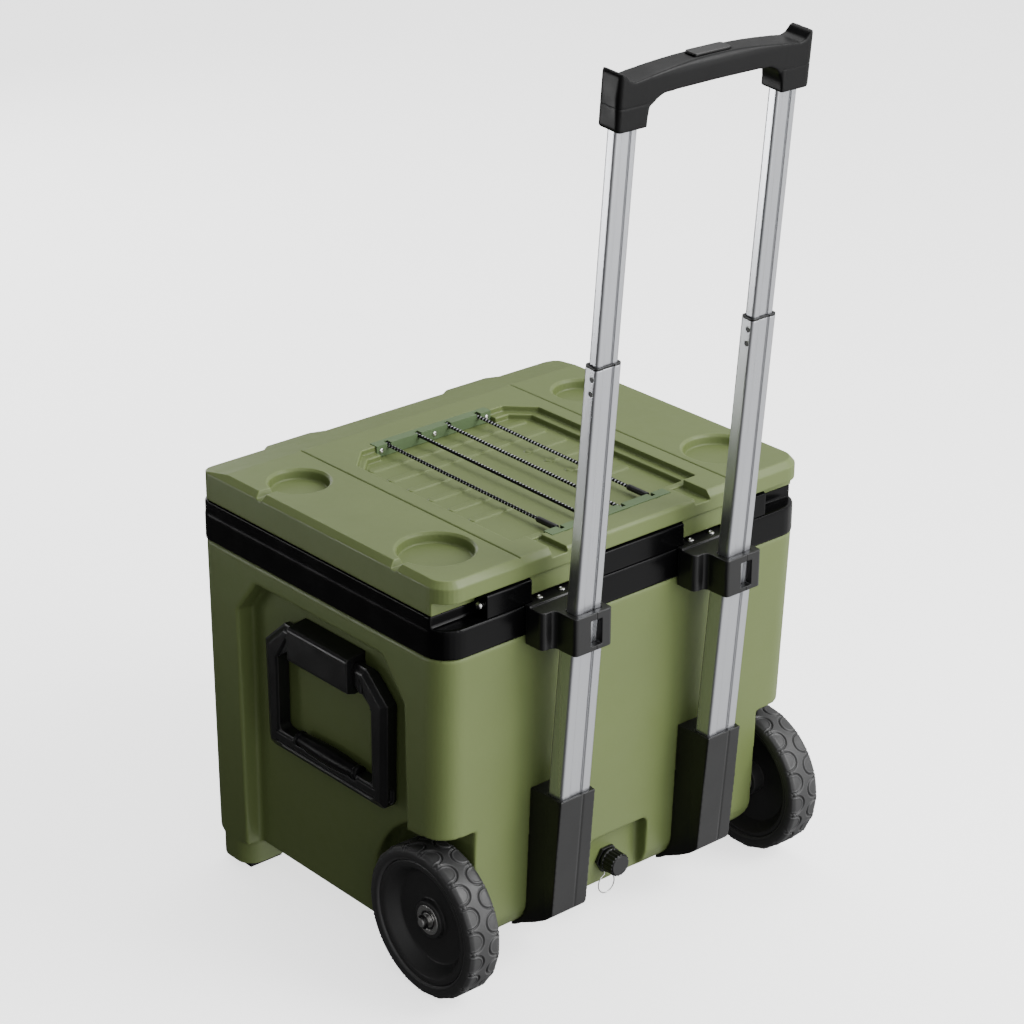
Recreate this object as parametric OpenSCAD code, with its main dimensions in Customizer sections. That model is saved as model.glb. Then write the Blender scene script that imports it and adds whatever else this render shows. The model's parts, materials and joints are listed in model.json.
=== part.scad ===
// Hard cooler on two wheels with a three-stage telescoping handle.
// Frame: +Z up, the handle side faces -Y and the latch side faces +Y.
// The origin is on the ground, under the centre of the whole bounding box.

/* [Tub] */
// Outer width of the tub and lid, between the side faces
body_w = 597.6; // [560:1:620]
// Distance from the wheel line back to the tub's handle-side face
rear_y = 222; // [215:1:226]
// Distance from the cup-holder centre line to the latch-side face
front_y = 257; // [250:1:262]
// Height of the tub's underside above the ground
belly_z = 45; // [40:1:52]
// Height of the black rim's lower edge
rim_z = 469; // [460:1:475]
// Height of the top of the black rim
rim_top_z = 523.5; // [520:0.5:524]
// Thickness of the tub's outer wall
shell_t = 4; // [3:0.5:5]
// Thickness of the inner liner's wall
liner_t = 3; // [2.5:0.5:4]

/* [Lid] */
// Height of the flat top of the lid
lid_top_z = 569.6; // [565:0.2:575]
// Height of the lid's lower edge at the sides
lid_low_z = 525; // [524.5:0.5:526]
// Depth of the cargo tray in the lid
tray_depth = 16; // [12:1:18]
// Radius of the two large cup holders
cup_near_r = 49.2; // [45:0.2:52]
// Radius of the two small cup holders
cup_far_r = 40.5; // [38:0.5:44]
// Opening angle stop of the lid, in degrees
lid_stop = 90; // [60:1:90]

/* [Wheels] */
// Wheel radius
wheel_r = 100; // [95:1:104]
// Wheel width
wheel_w = 48.5; // [44:0.5:50]
// Axle radius
axle_r = 6; // [5:0.5:7]

/* [Handle] */
// Half the distance between the two handle tubes
tube_x = 124.5; // [118:0.5:130]
// Backward lean of the handle, in degrees
lean = 4.8; // [4:0.1:5.5]
// Height of the top of the middle tubes
mid_top_z = 826; // [800:1:840]
// Height of the underside of the grip's sockets
grip_z = 1108; // [1080:1:1120]

/* [Hidden] */
$fn = 48;

// Shift from the wheel-line frame to the bounding box's centre
shift_y = 36.16;
// Small gap between neighbouring bodies
gap = 0.3;

// --- tub ---
half_w = body_w / 2;
wall_drop = rim_z - belly_z;
side_draft = 0.01;
rear_draft = 0.04;
corner_r = 34;
latch_r = 16;
tub_top_z = 503;
neck_in = 6;
belly_r = 45;
// --- side recess ---
recess_x = 272;
recess_front = 187;
recess_rear = -147;
recess_shoulder_z = 391;
recess_top_z = 441;
recess_slope = 41;
// --- wheel wells ---
wheel_y = -175;
well_x = 241;
well_r = 120;
well_top_z = 222;
well_front = wheel_y + well_r;
wheel_x = 300 - wheel_w / 2;
// --- cavity ---
cavity_x = 222;
cavity_rear = -165;
cavity_front = 203;
cavity_z = 88;
cavity_r = 30;
// --- rear ledge and hinge ---
ledge_z = 508;
hinge_y = -211;
hinge_z = 523.5;
hinge_pin_r = 3.5;
hinge_ends = [[-231, -161], [-88, 88], [161, 231]];
knuckle_x = [[-160.4, -88.6], [88.6, 160.4]];
// --- lid ---
groove_x = 175.5;
band_y = 206;
bevel = 8;
lid_under_z = 542;
cup_near = [234.6, -132];
cup_far = [236, 132];
cup_depth = 14;
notch_depth = 9;
tray_x = 152;
tray_rear = -174;
tray_front = 156.5;
tray_cut = 34;
block_x = 106;
channel_x = 130;
block_top_z = 565;
cord_r = 2.2;
cord_x = [-75, -25, 25, 75];
cord_z = [561.2, 566];
// --- latches ---
latch_x = 150;
latch_pin = [266, 545];
// --- handle ---
axis_y = -250.4;
axis_z = 250;
stage1 = [48, 26];
stage2 = [40, 20.4];
stage3 = [33.6, 15.6];
tube_t = [2.4, 2, 2];
bracket_z = [459, 508];
rivet_r = 3.4;
tongue_screws = [-22.5, 12.5];
tongue_screw_y = -218.5;
boot_z = [50, 253];
button_travel = 4;
// --- side handles ---
body_mid_y = 17;
bail_axis = [289, 390];
block_hw = 60;
bail_hw = 123;
bail_low_z = 221;
// --- drain ---
drain = [-3, 85];
drain_wall_y = -188;

green = "#7a8660";
black = "#1c1c1e";

module place() translate([0, shift_y, 0]) children();

// Mirror a left-hand child to the right-hand side as well
module both() {
  children();
  mirror([1, 0, 0]) children();
}

function arc(cx, cy, r, a0, a1, n = 8) =
  [for (i = [0:n]) let (a = a0 + (a1 - a0) * i / n) [cx + r * cos(a), cy + r * sin(a)]];

// Rectangle with round corners, from [x0, y0] to [x1, y1]; the corners at y1 may have their own radius
module rrect(x0, y0, x1, y1, r, r1) {
  q = is_undef(r1) ? r : r1;
  polygon(concat(
    arc(x1 - q, y1 - q, q, 0, 90), arc(x0 + q, y1 - q, q, 90, 180),
    arc(x0 + r, y0 + r, r, 180, 270), arc(x1 - r, y0 + r, r, 270, 360)));
}

// Extrude a shape drawn in [y, z] along X
module along_x(x0, x1) {
  translate([x0, 0, 0]) rotate([90, 0, 90]) linear_extrude(x1 - x0) children();
}

// Extrude a shape drawn in [x, z] along Y
module along_y(y0, y1) {
  translate([0, y1, 0]) rotate([90, 0, 0]) linear_extrude(y1 - y0) children();
}

module slab(z0, z1) translate([0, 0, z0]) linear_extrude(z1 - z0) children();

module block(a, b) translate(a) cube(b - a);

// Cylinder along X at [y, z]
module rod_x(x0, x1, y, z, r) {
  translate([x0, y, z]) rotate([0, 90, 0]) cylinder(h = x1 - x0, r = r);
}

// Cylinder along Y at [x, z]
module rod_y(y0, y1, x, z, r) {
  translate([x, y1, z]) rotate([90, 0, 0]) cylinder(h = y1 - y0, r = r);
}

// ---------- swept round cords ----------
function unit(v) = v / norm(v);
function tangent(p, i) = unit(p[min(i + 1, len(p) - 1)] - p[max(i - 1, 0)]);
function ring(p, t, r, n, up) = let (u = unit(cross(t, up)), v = cross(u, t))
  [for (k = [0:n - 1]) p + r * cos(360 * k / n) * u + r * sin(360 * k / n) * v];
module sweep(p, r, n = 8, up = [0, 0, 1]) {
  m = len(p);
  points = [for (i = [0:m - 1]) each ring(p[i], tangent(p, i), r, n, up)];
  sides = [for (i = [0:m - 2], k = [0:n - 1]) let (q = (k + 1) % n)
    [i * n + k, i * n + q, (i + 1) * n + q, (i + 1) * n + k]];
  first = [[for (k = [0:n - 1]) n - 1 - k]];
  last = [[for (k = [0:n - 1]) (m - 1) * n + k]];
  polyhedron(points, concat(first, sides, last), convexity = 6);
}

// ---------- tub ----------
function rear_at(z) = -rear_y + rear_draft * (rim_z - z);
function side_at(z) = half_w - side_draft * (rim_z - z);

module tub_slice(z, g = 0) {
  translate([0, 0, z]) linear_extrude(0.01)
    rrect(-side_at(z) + g, rear_at(z) + g, side_at(z) - g, front_y - g, corner_r - g, latch_r - g);
}

// The tub's drafted outside, before its recesses
module tub_block() {
  intersection() {
    hull() {
      tub_slice(belly_z);
      tub_slice(rim_z - 0.1);
    }
    along_x(-310, 310) polygon(belly_profile(0));
  }
  neck(0, rim_z - 1, tub_top_z);
}

// The narrower top of the tub that the black rim fits over
module neck(g, z0, z1) {
  slab(z0, z1) rrect(-half_w + neck_in - g, -rear_y + neck_in - g,
    half_w - neck_in + g, front_y - neck_in + g, corner_r - neck_in + g, latch_r - neck_in + g);
}

// Side view of the tub: rounded under the handle side, less so at the latches
function belly_profile(g) = concat(
  [[rear_at(tub_top_z) - 0.05 - g, tub_top_z + 1]],
  [[rear_at(belly_z + belly_r) - 0.05 - g, belly_z + belly_r]],
  arc(rear_at(belly_z + belly_r) + belly_r, belly_z + belly_r, belly_r + g, 182, 270, 10),
  arc(front_y - 18, belly_z + 18, 18 + g, 270, 360, 6),
  [[front_y + 1, tub_top_z + 1]]);

module leg() {
  difference() {
    slab(10, belly_z + 60) rrect(-side_at(10), recess_front + 2, -214, front_y - 2, 24);
    block([-310, recess_front - 10, 0], [-200, recess_front + 2, 200]);
  }
}

module wheel_well(g = 0) {
  rod_x(-310, -well_x + g, wheel_y, wheel_r, well_r + g);
  block([-310, -rear_y - 20, -10], [-well_x + g, wheel_y, well_top_z + g]);
  block([-310, -rear_y - 20, -10], [-well_x + g, well_front - 12 + g, wheel_r]);
}

module side_recess() {
  along_x(-310, -recess_x) polygon([
    [recess_front, -10], [recess_front, recess_shoulder_z],
    [recess_front - recess_slope, recess_top_z], [recess_rear + recess_slope, recess_top_z],
    [recess_rear, recess_shoulder_z], [recess_rear, -10]]);
}

module drain_recess(g = 0) {
  along_y(-rear_y - 10, drain_wall_y + g) polygon(concat(
    [[-50 - g, -10], [50 + g, -10]],
    arc(41, 124, 9 + g, 0, 90, 4), arc(-41, 124, 9 + g, 90, 180, 4)));
}

// Space between the outer shell and the liner
module shell_void(g = 0) {
  t = shell_t + g;
  difference() {
    intersection() {
      union() {
        block([-recess_x + t, -rear_y + 17 + t, belly_z + t + 5],
          [recess_x - t, front_y - t, tub_top_z + 1]);
        both() {
          block([-half_w + t + 5, recess_front + t, belly_z + 24],
            [-200, front_y - t - 8, tub_top_z + 1]);
          block([-half_w + t + 5, -rear_y + 12 + t, well_top_z + t],
            [-200, recess_rear - t, tub_top_z + 1]);
        }
        block([-half_w + t + 1, -rear_y + 6 + t, recess_top_z + t],
          [half_w - t - 1, front_y - t - 6, tub_top_z + 1]);
      }
      slab(belly_z, tub_top_z + 1) rrect(-half_w + neck_in + t, rear_at(belly_z) + t,
        half_w - neck_in - t, front_y - neck_in - t, corner_r);
    }
    both() wheel_well(t);
    drain_recess(t);
    // keeps the void clear of the rounded underside edge
    block([-310, -rear_y, 0], [310, -rear_y + 45, belly_z + 22]);
  }
}

module outer_shell() color(green) place() {
  difference() {
    union() {
      tub_block();
      both() leg();
    }
    shell_void();
    both() {
      wheel_well();
      side_recess();
      // rounds the well's inner lower edge
      along_y(-rear_y - 1, well_front - 12) difference() {
        translate([-well_x - 1, belly_z - 1]) square([37, 37]);
        translate([-well_x + 36, belly_z + 36]) circle(r = 36);
      }
      rod_x(-246, -200, wheel_y, wheel_r, axle_r);
      bail_screw_holes();
    }
    drain_recess();
    rod_y(-195, -178, drain[0], drain[1], 11);
    slab(0, 26) both() translate([-254, 222]) square([52, 40], center = true);
  }
}

module foam_core() color("#d9cf9a") place() {
  difference() {
    shell_void(gap);
    block([-cavity_x - liner_t - gap, cavity_rear - liner_t - gap, cavity_z - liner_t - gap],
      [cavity_x + liner_t + gap, cavity_front + liner_t + gap, tub_top_z + 10]);
    slab(tub_top_z, tub_top_z + 5) square(700, center = true);
    rod_y(-200, cavity_rear, drain[0], drain[1] + 12, 14);
    rod_y(-200, cavity_rear, drain[0], drain[1], 20);
    both() {
      rod_x(-250, -195, wheel_y, wheel_r, axle_r + gap);
      bail_screw_holes(8);
    }
  }
}

module cavity_shape(g, z0, z1) {
  slab(z0, z1) rrect(-cavity_x - g, cavity_rear - g, cavity_x + g, cavity_front + g, cavity_r + g);
}

module inner_liner() color("#c9ccc8") place() {
  difference() {
    union() {
      cavity_shape(liner_t, cavity_z - liner_t, rim_top_z - 4);
      rod_y(-175.6, cavity_rear, drain[0], drain[1] + 12, 13);
    }
    cavity_shape(0, cavity_z, rim_top_z + 1);
    rod_y(-200, cavity_rear + 1, drain[0], drain[1] + 12, 8);
  }
}

// Black moulded rim around the mouth of the tub
module rim_collar() color("#101012") place() {
  edge = 299.8;
  front = front_y + 1.6;
  difference() {
    union() {
      slab(rim_z, ledge_z - 6) rrect(-edge, -rear_y - 1, edge, front, corner_r + 1, latch_r + 1);
      // rounded outer shoulder
      for (i = [0:3]) {
        dz = 6 * sin(22.5 * (i + 1));
        inset = 6 * (1 - cos(22.5 * i));
        slab(ledge_z - 6.01, ledge_z - 6 + dz) rrect(-edge + inset, -rear_y - 1 + inset,
          edge - inset, front - inset, corner_r + 1 - inset, latch_r + 1 - inset);
      }
      difference() {
        slab(ledge_z - 1, rim_top_z)
          rrect(-edge + 0.6, -rear_y - 1, edge - 0.6, front - 0.6, corner_r, latch_r + 0.4);
        block([-310, -rear_y - 10, ledge_z], [310, -198, rim_top_z + 1]);
        // the latches need room to hang
        slab(ledge_z, rim_top_z + 1) translate([-310, front]) square([620, 10]);
      }
      slab(ledge_z - 6, rim_top_z) difference() {
        rrect(-edge + 0.6, -198, edge - 0.6, front - 0.6, 12, latch_r + 0.4);
        rrect(-edge + 20, -190, edge - 20, front - 20, 20);
      }
    }
    // skirt that drops over the tub's top edge
    neck(gap, rim_z - 1, tub_top_z + gap);
    cavity_shape(liner_t + gap, rim_z - 1, rim_top_z + 1);
    bracket_screw_holes(1.7);
  }
}

module foot_pads() color("#202021") place() {
  both() difference() {
    slab(0, 26) translate([-254, 222]) difference() {
      square([51.4, 39.4], center = true);
    }
    slab(-1, 3) translate([-254, 222]) square([14, 20], center = true);
  }
}

// ---------- hinge ----------
module hinge_blocks() color("#101012") place() {
  for (e = hinge_ends) difference() {
    along_x(e[0], e[1]) intersection() {
      union() {
        translate([hinge_y, hinge_z]) circle(r = 17.2);
        translate([hinge_y - 17, ledge_z + gap]) square([32, hinge_z - ledge_z]);
      }
      translate([-rear_y + 0.5, ledge_z + gap]) square([23.2, 40]);
    }
    rod_x(e[0] - 1, e[1] + 1, hinge_y, hinge_z, hinge_pin_r);
  }
}

module hinge_pins() color("silver") place() {
  both() {
    rod_x(-234, -70, hinge_y, hinge_z, hinge_pin_r);
    translate([-234, hinge_y, hinge_z]) rotate([0, -90, 0]) rotate_extrude()
      polygon([[0, 0], [5, 0], [5, 1.2], [4.2, 2.6], [2.4, 3.5], [0, 3.8]]);
  }
}

// ---------- lid ----------
module lid_outline(inset = 0) {
  rrect(-half_w + inset, -rear_y + inset, half_w - inset, front_y - inset,
    corner_r - 4 - inset, latch_r + 3 - inset);
}

module bump_outline(inset = 0) {
  polygon([[-latch_x - 50 + inset, front_y - 20], [-latch_x - 46 + inset, front_y + 2],
    [-latch_x - 34, front_y + 13 - inset], [-latch_x + 34, front_y + 13 - inset],
    [-latch_x + 56 - inset, front_y - 4], [-latch_x + 56 - inset, front_y - 20]]);
}

// Side view of the lid: the last 50 mm at the front slope down
module lid_profile() {
  polygon([[-rear_y - 1, lid_low_z], [front_y + 20, lid_low_z], [front_y + 20, lid_top_z - 12],
    [band_y, lid_top_z], [-rear_y - 1, lid_top_z]]);
}

module cup(at, r) {
  translate([at[0], at[1], lid_top_z - cup_depth]) rotate_extrude($fn = 72)
    polygon([[0, 0], [r - 5, 0], [r - 3.6, 1.4], [r - 2.6, cup_depth - 3],
      [r, cup_depth - 0.8], [r, cup_depth + 1], [0, cup_depth + 1]]);
}

module tray_outline(g = 0) {
  polygon([
    [-tray_x + g, tray_rear + g], [-tray_x + g, tray_front - tray_cut],
    [-tray_x + tray_cut, tray_front - g], [tray_x - tray_cut, tray_front - g],
    [tray_x - g, tray_front - tray_cut], [tray_x - g, tray_rear + g]]);
}

module lid_shell() color(green) place() {
  difference() {
    union() {
      intersection() {
        union() {
          slab(lid_low_z, lid_top_z - bevel) lid_outline();
          hull() {
            slab(lid_top_z - bevel - 0.01, lid_top_z - bevel) lid_outline();
            slab(lid_top_z - 0.01, lid_top_z) lid_outline(bevel - 1);
          }
        }
        along_x(-310, 310) lid_profile();
      }
      both() intersection() {
        slab(lid_low_z + 6, lid_top_z) bump_outline();
        along_x(-310, 310) polygon([[200, 500], [front_y + 20, 500], [front_y + 20, lid_top_z - 13],
          [front_y, lid_top_z - 8.5], [band_y, lid_top_z - 0.5]]);
      }
      lid_knuckles();
    }
    // rear lower edge is raised over the hinge
    difference() {
      block([-310, -rear_y - 5, lid_low_z - 30], [310, -200, lid_under_z]);
      lid_knuckles();
    }
    for (e = hinge_ends)
      block([e[0] - 0.8, -rear_y - 5, lid_low_z - 1], [e[1] + 0.8, hinge_y + 18.2, lid_under_z]);
    both() {
      rod_x(-161, -88, hinge_y, hinge_z, hinge_pin_r + 0.06);
      cup([-cup_near[0], cup_near[1]], cup_near_r);
      cup([-cup_far[0], cup_far[1]], cup_far_r);
      drain_notch(cup_near, 42);
      drain_notch(cup_far, 34);
      // panel grooves
      along_y(-rear_y - 1, band_y + 6) polygon([[-groove_x - 1.2, lid_top_z + 0.1],
        [-groove_x, lid_top_z - 1.4], [-groove_x + 1.2, lid_top_z + 0.1]]);
      // channels that empty the tray over the rear edge
      block([-channel_x, -rear_y - 1, lid_top_z - 12], [-block_x, tray_rear + 1, lid_top_z + 1]);
      latch_slot();
    }
    // the middle block at the rear edge is a little lower
    block([-block_x - 0.01, -rear_y - 1, block_top_z], [block_x + 0.01, tray_rear + 1, lid_top_z + 1]);
    // stepped cargo tray
    slab(lid_top_z - 8, lid_top_z + 1) tray_outline();
    slab(lid_top_z - tray_depth, lid_top_z + 1) tray_outline(12);
    underside_pocket();
    bracket_recess();
  }
  place() both() tray_ribs();
}

// Notch that drains a cup over the side
module drain_notch(at, reach) {
  along_x(-half_w - 1, -at[0] - reach) polygon([[at[1] - 8, lid_top_z + 1], [at[1] + 8, lid_top_z + 1],
    [at[1] + 7, lid_top_z - 1.5], [at[1] + 4, lid_top_z - notch_depth],
    [at[1] - 4, lid_top_z - notch_depth], [at[1] - 7, lid_top_z - 1.5]]);
}

module lid_knuckles() {
  for (k = knuckle_x) along_x(k[0], k[1]) intersection() {
    union() {
      translate([hinge_y, hinge_z]) circle(r = 9.5);
      translate([hinge_y - 9.5, hinge_z]) square([26, lid_under_z - hinge_z + 4]);
      translate([hinge_y + 8, lid_low_z]) square([12, 20]);
    }
    translate([-rear_y + 4, ledge_z + 1]) square([40, 40]);
  }
}

// Room for the foam and the liner plate, inside the lid
module underside_pocket(g = 0) {
  difference() {
    slab(lid_low_z - 1, lid_top_z - 6 - g)
      rrect(-half_w + 8 + g, -186 + g, half_w - 8 - g, front_y - 12 - g, 22);
    slab(lid_top_z - tray_depth - 4 - g, lid_top_z)
      rrect(-tray_x - 6 - g, -190, tray_x + 6 + g, tray_front + 6 + g, 10);
    both() {
      slab(lid_top_z - cup_depth - 4 - g, lid_top_z + 10) {
        translate([-cup_near[0], cup_near[1]]) circle(r = cup_near_r + 4 + g);
        translate([-cup_far[0], cup_far[1]]) circle(r = cup_far_r + 4 + g);
      }
      block([-latch_x - 40, front_y - 40, lid_low_z - 2], [-latch_x + 40, front_y, lid_top_z]);
      block([-310, cup_near[1] - 13, lid_top_z - bevel - 4], [-cup_near[0], cup_near[1] + 13, lid_top_z]);
      block([-310, cup_far[1] - 12, lid_top_z - bevel - 4], [-cup_far[0], cup_far[1] + 12, lid_top_z]);
    }
    // the front band slopes down, so the roof follows it
    along_x(-310, 310) polygon([[band_y - 20, lid_top_z - 6], [front_y, lid_top_z - 22],
      [front_y, lid_top_z + 5], [band_y - 20, lid_top_z + 5]]);
  }
}

module tray_ribs() {
  floor_z = lid_top_z - tray_depth;
  for (i = [0:5])
    slab(floor_z - 0.5, floor_z + 2) rrect(-131, 83.5 - 39.5 * i, i < 2 ? 5 : -62, 93.5 - 39.5 * i, 4.9);
}

// Seats of the cord brackets, with deeper pockets where the cord turns
module bracket_recess() {
  block([-96, tray_front - 1, lid_top_z - 1.4], [96, tray_front + 12, lid_top_z + 1]);
  block([-96, tray_front - 12.5, lid_top_z - tray_depth], [96, tray_front + 0.1, lid_top_z + 1]);
  both() block([-79, tray_front - 1, cord_z[1] - 3], [-21, tray_front + 12.4, lid_top_z + 1]);
  block([-98.5, tray_rear - 12, block_top_z - 1.4], [98.5, tray_rear + 1, block_top_z + 1]);
  block([-98.5, tray_rear - 0.1, lid_top_z - tray_depth], [98.5, tray_rear + 12.5, lid_top_z + 1]);
  block([-29, tray_rear - 12.4, cord_z[0] - 3], [29, tray_rear + 1, block_top_z + 1]);
  both() block([-79, tray_rear - 12.4, cord_z[0] - 3], [-71, tray_rear + 1, block_top_z + 1]);
  bracket_screw_shafts();
}

// Slot behind each bump that the latch pivots in
module latch_slot() {
  block([-latch_x - 31, front_y - 1, lid_low_z - 1], [-latch_x + 31, front_y + 20, latch_pin[1] + 9]);
  rod_x(-latch_x - 37, -latch_x + 37, latch_pin[0] - 1, latch_pin[1], 2.5);
}

module lid_foam() color("#d9cf9a") place() {
  intersection() {
    underside_pocket(gap);
    slab(lid_low_z + 4.4, lid_top_z) square(700, center = true);
  }
}

module lid_liner() color("#c9ccc8") place() {
  difference() {
    slab(lid_low_z + 0.4, lid_low_z + 4) rrect(-half_w + 8.4, -185.6, half_w - 8.4, front_y - 12.4, 22);
    both() block([-latch_x - 40.4, front_y - 40.4, lid_low_z - 2], [-latch_x + 40.4, front_y, lid_top_z]);
  }
  slab(lid_low_z - 14, lid_low_z + 0.5) difference() {
    rrect(-cavity_x + 6, cavity_rear + 22, cavity_x - 6, cavity_front - 6, cavity_r);
    rrect(-cavity_x + 14, cavity_rear + 30, cavity_x - 14, cavity_front - 14, cavity_r - 8);
  }
}

module lid_gasket() color("#4a4b4c") place() {
  slab(lid_low_z - 1.2, lid_low_z) difference() {
    rrect(-cavity_x - 16, cavity_rear - 16, cavity_x + 16, cavity_front + 16, cavity_r + 16);
    rrect(-cavity_x - 6, cavity_rear - 6, cavity_x + 6, cavity_front + 6, cavity_r + 6);
  }
}

// ---------- latches ----------
module latch_body() {
  y = latch_pin[0] - 1;
  z = latch_pin[1];
  difference() {
    union() {
      along_x(-latch_x - 30, -latch_x + 30) union() {
        translate([y, z]) circle(r = 6);
        polygon([[y - 3.8, z], [y + 4.5, z], [y + 4.5, 492], [y + 9, 478], [y + 5.5, 476],
          [y - 0.5, 489], [y - 3.8, 489]]);
      }
      rod_x(-latch_x - 22, -latch_x + 22, y - 1.8, 499, 2.4);
    }
    rod_x(-latch_x - 31, -latch_x + 31, y, z, 2.5 + 0.06);
    along_x(-latch_x - 18, -latch_x + 18) polygon([[y + 3, 538], [y + 6, 538], [y + 6, 506], [y + 3, 506]]);
  }
}
module latch_left() color(black) place() latch_body();
module latch_right() color(black) place() mirror([1, 0, 0]) latch_body();
module latch_pins() color("silver") place()
  both() rod_x(-latch_x - 36, -latch_x + 36, latch_pin[0] - 1, latch_pin[1], 2.5);

module latch_keepers() color("silver") place() {
  both() along_x(-latch_x - 28, -latch_x + 28) difference() {
    translate([front_y + 1.6, 482]) square([1.8, 19]);
    translate([front_y + 5.6, 499]) circle(r = 3);
  }
}

// ---------- cargo cord on the lid ----------
bracket_t = 1.6;
screw_x = [-88, 0, 88];
screw_drop = 7.4;
far_y = tray_front + 6;
near_y = tray_rear - 5;
clip_y = -168;
clip_len = 34;

// Bent plate over the tray's edge, with an open slot for each run of cord
module bracket_plate(half, y0, y1, top_z, drop_y, drop) {
  difference() {
    union() {
      block([-half, y0, top_z - bracket_t], [half, y1, top_z]);
      block([-half, drop_y, top_z - drop], [half, drop_y + 2, top_z]);
    }
    for (x = cord_x) translate([x, 0, 0])
      block([-cord_r - 1, drop_y - 1, top_z - 7], [cord_r + 1, drop_y + 9, top_z + 1]);
    for (x = screw_x) rod_y(-300, 300, x, top_z - screw_drop - 0.4, 1.8);
  }
}

module bungee_bracket_front() color("#7f9878") place()
  bracket_plate(95.5, tray_front - 2.6, tray_front + 11.5, lid_top_z + 0.4, tray_front - 2.6, 15.8);

module bungee_bracket_rear() color("#7f9878") place() mirror([0, 1, 0])
  bracket_plate(98, -tray_rear - 3.6, -tray_rear + 11.5, block_top_z + 0.4, -tray_rear - 3.6, 11.6);

module bracket_screw_shafts() {
  for (x = screw_x) {
    rod_y(tray_front - 2.6, tray_front + 6, x, lid_top_z - screw_drop, 1.8);
    rod_y(tray_rear - 5, tray_rear + 3.6, x, block_top_z - screw_drop, 1.8);
  }
}

module bungee_bracket_screws() color("silver") place() {
  bracket_screw_shafts();
  for (x = screw_x) {
    rod_y(tray_front - 4.2, tray_front - 2.6, x, lid_top_z - screw_drop, 3.6);
    rod_y(tray_rear + 3.6, tray_rear + 5.2, x, block_top_z - screw_drop, 3.6);
  }
}

// Four straight runs joined by half turns under the brackets' tongues
function on_cord(x, y) = [x, y, cord_z[0] + (cord_z[1] - cord_z[0]) * (y - near_y) / (far_y - near_y)];
function turn(xa, xb, y, dir) = let (r = abs(xb - xa) / 2, c = (xa + xb) / 2)
  [for (i = [1:5]) let (a = 30 * i) on_cord(c - r * cos(a), y + dir * 3 * sin(a))];
function run(x, y0, y1) = [for (i = [0:3]) on_cord(x, y0 + (y1 - y0) * i / 3)];
cord_path = concat(
  run(cord_x[0], clip_y + clip_len + 0.2, far_y), turn(cord_x[0], cord_x[1], far_y, 1),
  run(cord_x[1], far_y, near_y), turn(cord_x[1], cord_x[2], near_y, -1),
  run(cord_x[2], near_y, far_y), turn(cord_x[2], cord_x[3], far_y, 1),
  run(cord_x[3], far_y, clip_y + clip_len + 0.2));
module bungee_cord() color("#2a2a2c") place() sweep(cord_path, cord_r);

module cord_end_clips() color(black) place() {
  for (x = [cord_x[0], cord_x[3]]) {
    rod_y(clip_y, clip_y + clip_len, x, cord_z[0] + 0.4, 4);
    block([x - 2, near_y - 3, cord_z[0] - 2], [x + 2, clip_y + 1, cord_z[0] + 1.5]);
  }
}

// ---------- telescoping handle ----------
// Local frame on a tube's axis: s = 0 at the reference height
module on_axis(side) {
  translate([side * tube_x, axis_y, axis_z]) rotate([lean, 0, 0]) children();
}
function s_at(z) = (z - axis_z) / cos(lean);

module tube_section(size, r = 4, g = 0) {
  w = size[0] / 2 + g;
  d = size[1] / 2 + g;
  difference() {
    rrect(-w, -d, w, d, r + g);
    translate([-w + 0.28 * 2 * w, -d - 1]) square([0.36 * 2 * w, 1.8]);
    polygon([[w * 0.28, -d - 0.1], [w * 0.36, -d + 1.6], [w * 0.44, -d - 0.1]]);
  }
}

module tube(size, t, z0, z1) {
  translate([0, 0, s_at(z0)]) linear_extrude(s_at(z1) - s_at(z0)) difference() {
    tube_section(size);
    rrect(-size[0] / 2 + t, -size[1] / 2 + t, size[0] / 2 - t, size[1] / 2 - t, 2.5);
  }
}

module lower_tube(side) on_axis(side) tube(stage1, tube_t[0], 98, bracket_z[1] - 5.4);
module lower_tube_left() color("silver") place() lower_tube(-1);
module lower_tube_right() color("silver") place() lower_tube(1);

module middle_tube(side) on_axis(side) difference() {
  tube(stage2, tube_t[1], 430, mid_top_z - 3);
  for (z = [mid_top_z - 15, mid_top_z - 33])
    translate([-stage2[0], -3.5, s_at(z)]) rotate([0, 90, 0]) cylinder(h = stage2[0], r = rivet_r);
}
module middle_tube_left() color("silver") place() middle_tube(-1);
module middle_tube_right() color("silver") place() middle_tube(1);

module middle_tube_bushes() color(black) place() for (side = [-1, 1]) on_axis(side) {
  translate([0, 0, s_at(mid_top_z - 2.8)]) linear_extrude(3) difference() {
    tube_section(stage2);
    rrect(-stage3[0] / 2 - 0.4, -stage3[1] / 2 - 0.35, stage3[0] / 2 + 0.4, stage3[1] / 2 + 0.35, 3);
  }
}

module bush_rivets() color("#3a3a3c") place() for (side = [-1, 1]) on_axis(side)
  for (z = [mid_top_z - 15, mid_top_z - 33])
    translate([-stage2[0] / 2 + 0.2, -3.5, s_at(z)]) rotate([0, 90, 0]) cylinder(h = 1.7, r = rivet_r);

module upper_tube(side) on_axis(side) difference() {
  tube(stage3, tube_t[2], 756, grip_z + 26);
  translate([0, 0, s_at(766)]) rotate([0, 90, 0]) cylinder(h = 60, r = 3, center = true);
}
module upper_tube_left() color("silver") place() upper_tube(-1);
module upper_tube_right() color("silver") place() upper_tube(1);

// Flat rods inside the upper tubes that carry the button's push to the lock pins
module release_rods() color("#8d9094") place() for (side = [-1, 1]) on_axis(side)
  translate([-4, -1.5, s_at(774)]) cube([8, 3, s_at(grip_z + 22) - s_at(774)]);

module lock_pins() color("silver") place() for (side = [-1, 1]) on_axis(side)
  translate([0, 0, s_at(766)]) rotate([0, 90, 0]) cylinder(h = stage3[0], r = 2.94, center = true);

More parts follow.
